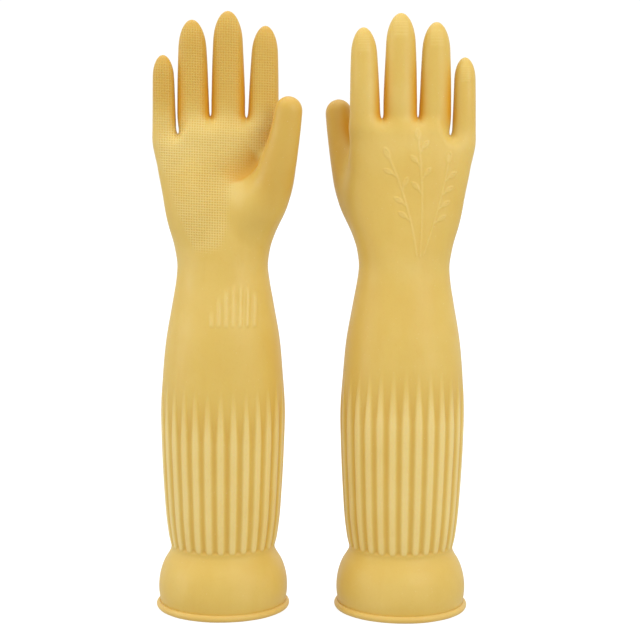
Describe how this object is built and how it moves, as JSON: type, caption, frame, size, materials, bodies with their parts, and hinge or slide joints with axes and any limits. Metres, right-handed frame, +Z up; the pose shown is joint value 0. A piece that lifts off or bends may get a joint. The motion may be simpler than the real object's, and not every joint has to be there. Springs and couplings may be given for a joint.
{
  "type": "long-sleeved household rubber gloves",
  "caption": "Pair of long natural-latex household gloves with grip palms, ribbed sleeves and flared rolled cuffs, standing upright on their rims.",
  "frame": {"origin": "on the ground, midway between the two gloves' rims", "axes": "+Z up the gloves, +X from glove 1 to glove 2, -Y is the side where glove 1 shows its palm and glove 2 its back"},
  "size_m": [0.2412, 0.1014, 0.45],
  "materials": {
    "latex_film": "satin, slightly translucent natural latex",
    "rolled_rim": "satin, thicker and slightly deeper in colour"
  },
  "bodies": {
    "glove_1_sleeve": {"glove_1_rolled_bead": "rolled_rim", "glove_1_bell_cuff": "latex_film", "glove_1_ribbed_sleeve": "latex_film", "glove_1_forearm_sleeve": "latex_film"},
    "glove_1_hand": {"glove_1_palm": "latex_film"},
    "glove_1_index": {"glove_1_index_base": "latex_film"},
    "glove_1_index_end": {"glove_1_index_tip": "latex_film"},
    "glove_1_middle": {"glove_1_middle_base": "latex_film"},
    "glove_1_middle_end": {"glove_1_middle_tip": "latex_film"},
    "glove_1_ring": {"glove_1_ring_base": "latex_film"},
    "glove_1_ring_end": {"glove_1_ring_tip": "latex_film"},
    "glove_1_little": {"glove_1_little_base": "latex_film"},
    "glove_1_little_end": {"glove_1_little_tip": "latex_film"},
    "glove_1_thumb": {"glove_1_thumb_base": "latex_film"},
    "glove_1_thumb_end": {"glove_1_thumb_tip": "latex_film"},
    "glove_2_sleeve": {"glove_2_rolled_bead": "rolled_rim", "glove_2_bell_cuff": "latex_film", "glove_2_ribbed_sleeve": "latex_film", "glove_2_forearm_sleeve": "latex_film"},
    "glove_2_hand": {"glove_2_palm": "latex_film"},
    "glove_2_index": {"glove_2_index_base": "latex_film"},
    "glove_2_index_end": {"glove_2_index_tip": "latex_film"},
    "glove_2_middle": {"glove_2_middle_base": "latex_film"},
    "glove_2_middle_end": {"glove_2_middle_tip": "latex_film"},
    "glove_2_ring": {"glove_2_ring_base": "latex_film"},
    "glove_2_ring_end": {"glove_2_ring_tip": "latex_film"},
    "glove_2_little": {"glove_2_little_base": "latex_film"},
    "glove_2_little_end": {"glove_2_little_tip": "latex_film"},
    "glove_2_thumb": {"glove_2_thumb_base": "latex_film"},
    "glove_2_thumb_end": {"glove_2_thumb_tip": "latex_film"}
  },
  "joints": [
    {"name": "glove_1_wrist_bend", "type": "hinge", "parent": "glove_1_sleeve", "child": "glove_1_hand", "pos_m": [-0.068, 0, 0.262], "axis": [1, 0, 0], "range_deg": [-25, 35], "stiffness_Nm_per_rad": 0.4},
    {"name": "glove_1_index_root_bend", "type": "hinge", "parent": "glove_1_hand", "child": "glove_1_index", "pos_m": [-0.03772, 0, 0.3825], "axis": [1, 0, 0], "range_deg": [-10, 75], "stiffness_Nm_per_rad": 0.008},
    {"name": "glove_1_index_middle_bend", "type": "hinge", "parent": "glove_1_index", "child": "glove_1_index_end", "pos_m": [-0.03702, -0.00074, 0.407], "axis": [1, 0, 0], "range_deg": [0, 80], "stiffness_Nm_per_rad": 0.008},
    {"name": "glove_1_middle_root_bend", "type": "hinge", "parent": "glove_1_hand", "child": "glove_1_middle", "pos_m": [-0.0642, 0, 0.383], "axis": [1, 0, 0], "range_deg": [-10, 75], "stiffness_Nm_per_rad": 0.008},
    {"name": "glove_1_middle_middle_bend", "type": "hinge", "parent": "glove_1_middle", "child": "glove_1_middle_end", "pos_m": [-0.0642, -0.00065, 0.41], "axis": [1, 0, 0], "range_deg": [0, 80], "stiffness_Nm_per_rad": 0.008},
    {"name": "glove_1_ring_root_bend", "type": "hinge", "parent": "glove_1_hand", "child": "glove_1_ring", "pos_m": [-0.09015, 0, 0.382], "axis": [1, 0, 0], "range_deg": [-10, 75], "stiffness_Nm_per_rad": 0.008},
    {"name": "glove_1_ring_middle_bend", "type": "hinge", "parent": "glove_1_ring", "child": "glove_1_ring_end", "pos_m": [-0.09043, -0.00072, 0.408], "axis": [1, 0, 0], "range_deg": [0, 80], "stiffness_Nm_per_rad": 0.008},
    {"name": "glove_1_little_root_bend", "type": "hinge", "parent": "glove_1_hand", "child": "glove_1_little", "pos_m": [-0.11181, 0, 0.3715], "axis": [1, 0, 0], "range_deg": [-10, 75], "stiffness_Nm_per_rad": 0.008},
    {"name": "glove_1_little_middle_bend", "type": "hinge", "parent": "glove_1_little", "child": "glove_1_little_end", "pos_m": [-0.11215, -0.00072, 0.391], "axis": [1, 0, 0], "range_deg": [0, 80], "stiffness_Nm_per_rad": 0.008},
    {"name": "glove_1_thumb_spread", "type": "hinge", "parent": "glove_1_hand", "child": "glove_1_thumb", "pos_m": [-0.02323, -0.02478, 0.351], "axis": [-0.3403, 0.9209, 0.1902], "range_deg": [-30, 25], "stiffness_Nm_per_rad": 0.008},
    {"name": "glove_1_thumb_tip_bend", "type": "hinge", "parent": "glove_1_thumb", "child": "glove_1_thumb_end", "pos_m": [-0.0204, -0.0275, 0.366], "axis": [0.398, -0.8955, -0.199], "range_deg": [0, 45], "stiffness_Nm_per_rad": 0.008},
    {"name": "glove_2_wrist_bend", "type": "hinge", "parent": "glove_2_sleeve", "child": "glove_2_hand", "pos_m": [0.068, 0, 0.262], "axis": [-1, 0, 0], "range_deg": [-25, 35], "stiffness_Nm_per_rad": 0.4},
    {"name": "glove_2_index_root_bend", "type": "hinge", "parent": "glove_2_hand", "child": "glove_2_index", "pos_m": [0.03772, 0, 0.3825], "axis": [-1, 0, 0], "range_deg": [-10, 75], "stiffness_Nm_per_rad": 0.008},
    {"name": "glove_2_index_middle_bend", "type": "hinge", "parent": "glove_2_index", "child": "glove_2_index_end", "pos_m": [0.03702, 0.00074, 0.407], "axis": [-1, 0, 0], "range_deg": [0, 80], "stiffness_Nm_per_rad": 0.008},
    {"name": "glove_2_middle_root_bend", "type": "hinge", "parent": "glove_2_hand", "child": "glove_2_middle", "pos_m": [0.0642, 0, 0.383], "axis": [-1, 0, 0], "range_deg": [-10, 75], "stiffness_Nm_per_rad": 0.008},
    {"name": "glove_2_middle_middle_bend", "type": "hinge", "parent": "glove_2_middle", "child": "glove_2_middle_end", "pos_m": [0.0642, 0.00065, 0.41], "axis": [-1, 0, 0], "range_deg": [0, 80], "stiffness_Nm_per_rad": 0.008},
    {"name": "glove_2_ring_root_bend", "type": "hinge", "parent": "glove_2_hand", "child": "glove_2_ring", "pos_m": [0.09015, 0, 0.382], "axis": [-1, 0, 0], "range_deg": [-10, 75], "stiffness_Nm_per_rad": 0.008},
    {"name": "glove_2_ring_middle_bend", "type": "hinge", "parent": "glove_2_ring", "child": "glove_2_ring_end", "pos_m": [0.09043, 0.00072, 0.408], "axis": [-1, 0, 0], "range_deg": [0, 80], "stiffness_Nm_per_rad": 0.008},
    {"name": "glove_2_little_root_bend", "type": "hinge", "parent": "glove_2_hand", "child": "glove_2_little", "pos_m": [0.11181, 0, 0.3715], "axis": [-1, 0, 0], "range_deg": [-10, 75], "stiffness_Nm_per_rad": 0.008},
    {"name": "glove_2_little_middle_bend", "type": "hinge", "parent": "glove_2_little", "child": "glove_2_little_end", "pos_m": [0.11215, 0.00072, 0.391], "axis": [-1, 0, 0], "range_deg": [0, 80], "stiffness_Nm_per_rad": 0.008},
    {"name": "glove_2_thumb_spread", "type": "hinge", "parent": "glove_2_hand", "child": "glove_2_thumb", "pos_m": [0.02323, 0.02478, 0.351], "axis": [0.3403, -0.9209, 0.1902], "range_deg": [-30, 25], "stiffness_Nm_per_rad": 0.008},
    {"name": "glove_2_thumb_tip_bend", "type": "hinge", "parent": "glove_2_thumb", "child": "glove_2_thumb_end", "pos_m": [0.0204, 0.0275, 0.366], "axis": [-0.398, 0.8955, -0.199], "range_deg": [0, 45], "stiffness_Nm_per_rad": 0.008},
    {"name": "glove_2_lift", "type": "slide", "parent": "glove_1_sleeve", "child": "glove_2_sleeve", "axis": [0, 0, 1], "range_m": [0, 0.5]}
  ]
}
